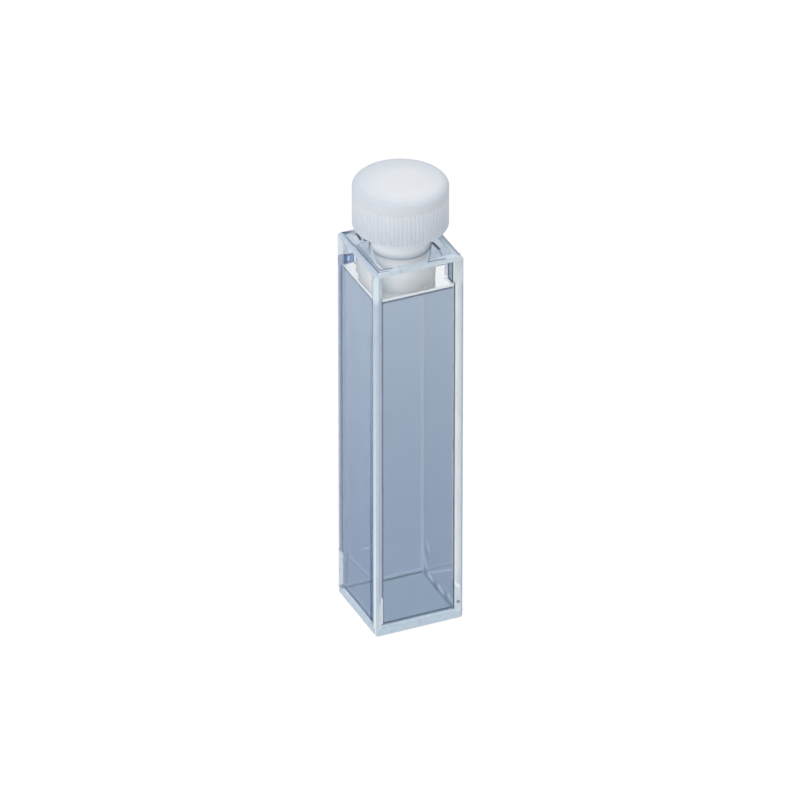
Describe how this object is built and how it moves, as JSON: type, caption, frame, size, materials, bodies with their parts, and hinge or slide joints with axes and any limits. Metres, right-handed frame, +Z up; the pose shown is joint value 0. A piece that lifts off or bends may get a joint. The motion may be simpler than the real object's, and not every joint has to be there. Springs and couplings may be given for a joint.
{
  "type": "cuvette",
  "caption": "Tall square clear-glass cuvette whose glass top block has a tapered bore, closed by a white stopper with a fine-ribbed round head; holds a liquid sample in a light path.",
  "frame": {"origin": "centre of the cell's foot", "axes": "+Z up along the cell towards the stopper; X and Y square to the four side plates"},
  "size_m": [0.0126, 0.0126, 0.0648],
  "materials": {
    "cell_glass": "polished",
    "block_glass": "polished, bore ground",
    "stopper_plastic": "satin"
  },
  "bodies": {
    "root": {"cell": "cell_glass", "top_block": "block_glass", "stopper": "stopper_plastic"}
  },
  "joints": []
}
